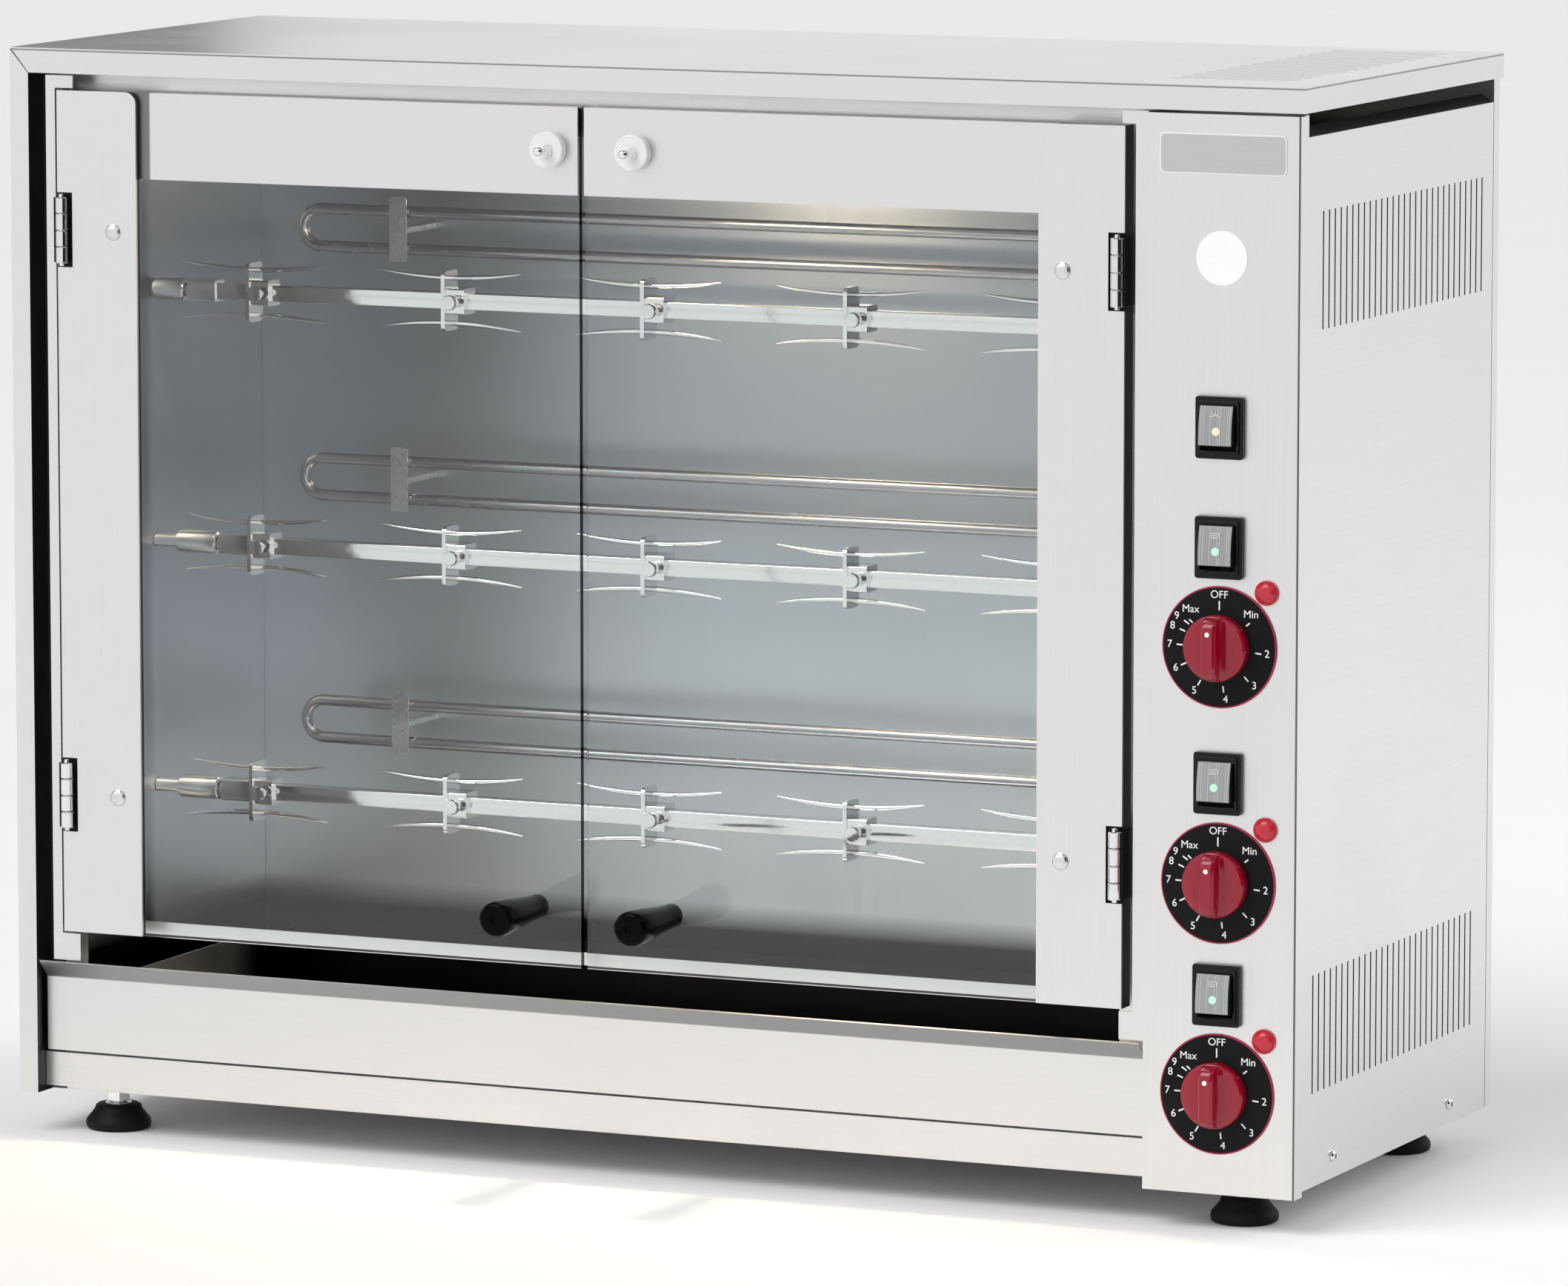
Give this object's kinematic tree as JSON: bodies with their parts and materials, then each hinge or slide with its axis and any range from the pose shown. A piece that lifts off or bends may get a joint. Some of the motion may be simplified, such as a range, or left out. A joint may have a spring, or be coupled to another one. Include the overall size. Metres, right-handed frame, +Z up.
{
  "type": "rotisserie oven",
  "caption": "Counter-top electric rotisserie oven: glazed double doors, stacked horizontal spits with forks, slide-out drip tray and a control column of dials and rockers.",
  "frame": {"origin": "under the middle of the whole object, on the surface it stands on", "axes": "+Z up; the doors and dials face -Y; +X to the right of someone facing the doors"},
  "size_m": [1, 0.472, 0.793],
  "materials": {
    "stainless": "fine vertical brushed stainless sheet",
    "cavity_steel": "smooth reflective liner sheet",
    "lamp_glass": "frosted heat-proof lamp window",
    "element_steel": "heat-darkened tube",
    "cast_gearbox": "die-cast housing",
    "phenolic": "moulded phenolic",
    "black_plastic": "glossy black moulding",
    "red_lens": "translucent red lens",
    "terminal_plastic": "cream terminal moulding",
    "hinge_chrome": "polished plate",
    "door_glass": "clear toughened glass",
    "spit_chrome": "plated bar",
    "socket_steel": "turned steel",
    "crimson_plastic": "glossy crimson moulding",
    "rocker_lens": "translucent grey ribbed lens",
    "foot_rubber": "matt black rubber"
  },
  "bodies": {
    "cabinet": {"top_cover": "stainless", "left_side_panel": "stainless", "right_side_panel": "stainless", "back_panel": "stainless", "base_pan": "stainless", "front_frame": "stainless", "front_rail": "stainless", "control_panel": "stainless", "cavity_left_wall": "cavity_steel", "cavity_right_wall": "cavity_steel", "cavity_liner": "cavity_steel", "cavity_lamp": "lamp_glass", "heating_element_top": "element_steel", "heating_element_middle": "element_steel", "heating_element_bottom": "element_steel", "gearmotor_top": "cast_gearbox", "gearmotor_middle": "cast_gearbox", "gearmotor_bottom": "cast_gearbox", "energy_regulator_top": "phenolic", "energy_regulator_middle": "phenolic", "energy_regulator_bottom": "phenolic", "switch_frame_light": "black_plastic", "switch_frame_top": "black_plastic", "switch_frame_middle": "black_plastic", "switch_frame_bottom": "black_plastic", "cable_gland": "black_plastic", "pilot_lamp_top": "red_lens", "pilot_lamp_middle": "red_lens", "pilot_lamp_bottom": "red_lens", "terminal_block": "terminal_plastic", "left_hinge_upper": "hinge_chrome", "left_hinge_lower": "hinge_chrome", "right_hinge_upper": "hinge_chrome", "right_hinge_lower": "hinge_chrome"},
    "left_door": {"left_door_strip": "stainless", "left_door_glass": "door_glass", "left_door_top_bar": "stainless", "left_door_handle": "black_plastic"},
    "right_door": {"right_door_strip": "stainless", "right_door_glass": "door_glass", "right_door_top_bar": "stainless", "right_door_handle": "black_plastic"},
    "tray": {"drip_tray": "stainless"},
    "top_spit": {"spit_top": "spit_chrome", "drive_socket_top": "socket_steel"},
    "middle_spit": {"spit_middle": "spit_chrome", "drive_socket_middle": "socket_steel"},
    "bottom_spit": {"spit_bottom": "spit_chrome", "drive_socket_bottom": "socket_steel"},
    "top_knob": {"knob_top": "crimson_plastic"},
    "middle_knob": {"knob_middle": "crimson_plastic"},
    "bottom_knob": {"knob_bottom": "crimson_plastic"},
    "light_rocker": {"rocker_light": "rocker_lens"},
    "top_rocker": {"rocker_top": "rocker_lens"},
    "middle_rocker": {"rocker_middle": "rocker_lens"},
    "bottom_rocker": {"rocker_bottom": "rocker_lens"},
    "front_left_foot": {"foot_front_left": "foot_rubber"},
    "front_right_foot": {"foot_front_right": "foot_rubber"},
    "rear_left_foot": {"foot_rear_left": "foot_rubber"},
    "rear_right_foot": {"foot_rear_right": "foot_rubber"}
  },
  "joints": [
    {"name": "left_door_hinge", "type": "hinge", "parent": "cabinet", "child": "left_door", "pos_m": [-0.4575, -0.173, 0.455], "axis": [0, 0, -1], "range_deg": [0, 110]},
    {"name": "right_door_hinge", "type": "hinge", "parent": "cabinet", "child": "right_door", "pos_m": [0.3635, -0.173, 0.455], "axis": [0, 0, 1], "range_deg": [0, 110]},
    {"name": "drip_tray_slide", "type": "slide", "parent": "cabinet", "child": "tray", "axis": [0, -1, 0], "range_m": [0, 0.3]},
    {"name": "top_spit_turn", "type": "hinge", "parent": "cabinet", "child": "top_spit", "pos_m": [0, 0.007, 0.605], "axis": [1, 0, 0], "continuous": true},
    {"name": "middle_spit_turn", "type": "hinge", "parent": "cabinet", "child": "middle_spit", "pos_m": [0, 0.007, 0.418], "axis": [1, 0, 0], "continuous": true},
    {"name": "bottom_spit_turn", "type": "hinge", "parent": "cabinet", "child": "bottom_spit", "pos_m": [0, 0.007, 0.235], "axis": [1, 0, 0], "continuous": true},
    {"name": "top_knob_turn", "type": "hinge", "parent": "cabinet", "child": "top_knob", "pos_m": [0.4405, -0.1765, 0.4076], "axis": [0, 1, 0], "range_deg": [0, 310]},
    {"name": "middle_knob_turn", "type": "hinge", "parent": "cabinet", "child": "middle_knob", "pos_m": [0.4405, -0.1765, 0.244], "axis": [0, 1, 0], "range_deg": [0, 310]},
    {"name": "bottom_knob_turn", "type": "hinge", "parent": "cabinet", "child": "bottom_knob", "pos_m": [0.4405, -0.1765, 0.097], "axis": [0, 1, 0], "range_deg": [0, 310]},
    {"name": "light_rocker_tilt", "type": "hinge", "parent": "cabinet", "child": "light_rocker", "pos_m": [0.4405, -0.1665, 0.559], "axis": [1, 0, 0], "range_deg": [0, 14]},
    {"name": "top_rocker_tilt", "type": "hinge", "parent": "cabinet", "child": "top_rocker", "pos_m": [0.4405, -0.1665, 0.4765], "axis": [1, 0, 0], "range_deg": [0, 14]},
    {"name": "middle_rocker_tilt", "type": "hinge", "parent": "cabinet", "child": "middle_rocker", "pos_m": [0.4405, -0.1665, 0.3135], "axis": [1, 0, 0], "range_deg": [0, 14]},
    {"name": "bottom_rocker_tilt", "type": "hinge", "parent": "cabinet", "child": "bottom_rocker", "pos_m": [0.4405, -0.1665, 0.1662], "axis": [1, 0, 0], "range_deg": [0, 14]},
    {"name": "front_left_foot_turn", "type": "hinge", "parent": "cabinet", "child": "front_left_foot", "pos_m": [-0.443, -0.126, 0], "axis": [0, 0, 1], "continuous": true},
    {"name": "front_right_foot_turn", "type": "hinge", "parent": "cabinet", "child": "front_right_foot", "pos_m": [0.443, -0.126, 0], "axis": [0, 0, 1], "continuous": true},
    {"name": "rear_left_foot_turn", "type": "hinge", "parent": "cabinet", "child": "rear_left_foot", "pos_m": [-0.443, 0.174, 0], "axis": [0, 0, 1], "continuous": true},
    {"name": "rear_right_foot_turn", "type": "hinge", "parent": "cabinet", "child": "rear_right_foot", "pos_m": [0.443, 0.174, 0], "axis": [0, 0, 1], "continuous": true}
  ]
}
